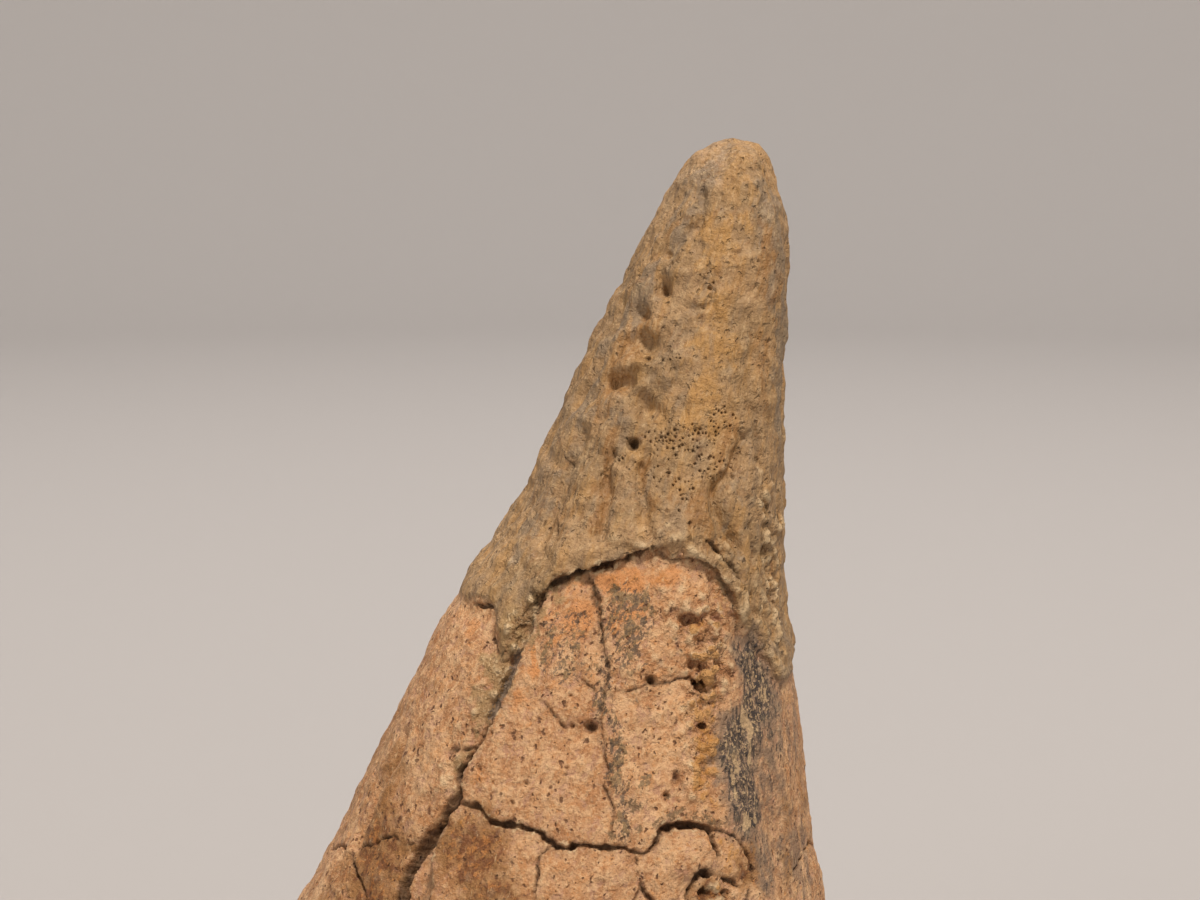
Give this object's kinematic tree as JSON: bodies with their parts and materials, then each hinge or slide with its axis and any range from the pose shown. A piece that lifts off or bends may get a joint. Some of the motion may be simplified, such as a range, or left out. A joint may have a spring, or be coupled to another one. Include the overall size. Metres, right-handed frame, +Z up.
{
  "type": "fossil ankylosaur scute",
  "caption": "Tall conical bone armour plate, leaning to one side, with a cracked and pitted surface, a blunt tip and a broad foot that is shallowly hollow underneath.",
  "frame": {"origin": "under the middle of the foot's bounding box, on the plane that the foot stands on", "axes": "+Z up, from the foot to the tip; -Y towards the front, the side with the broken plates; +X towards the side that the tip leans to"},
  "size_m": [0.0714, 0.0601, 0.0996],
  "materials": {
    "bone": "matte"
  },
  "bodies": {
    "root": {"scute": "bone"}
  },
  "joints": []
}
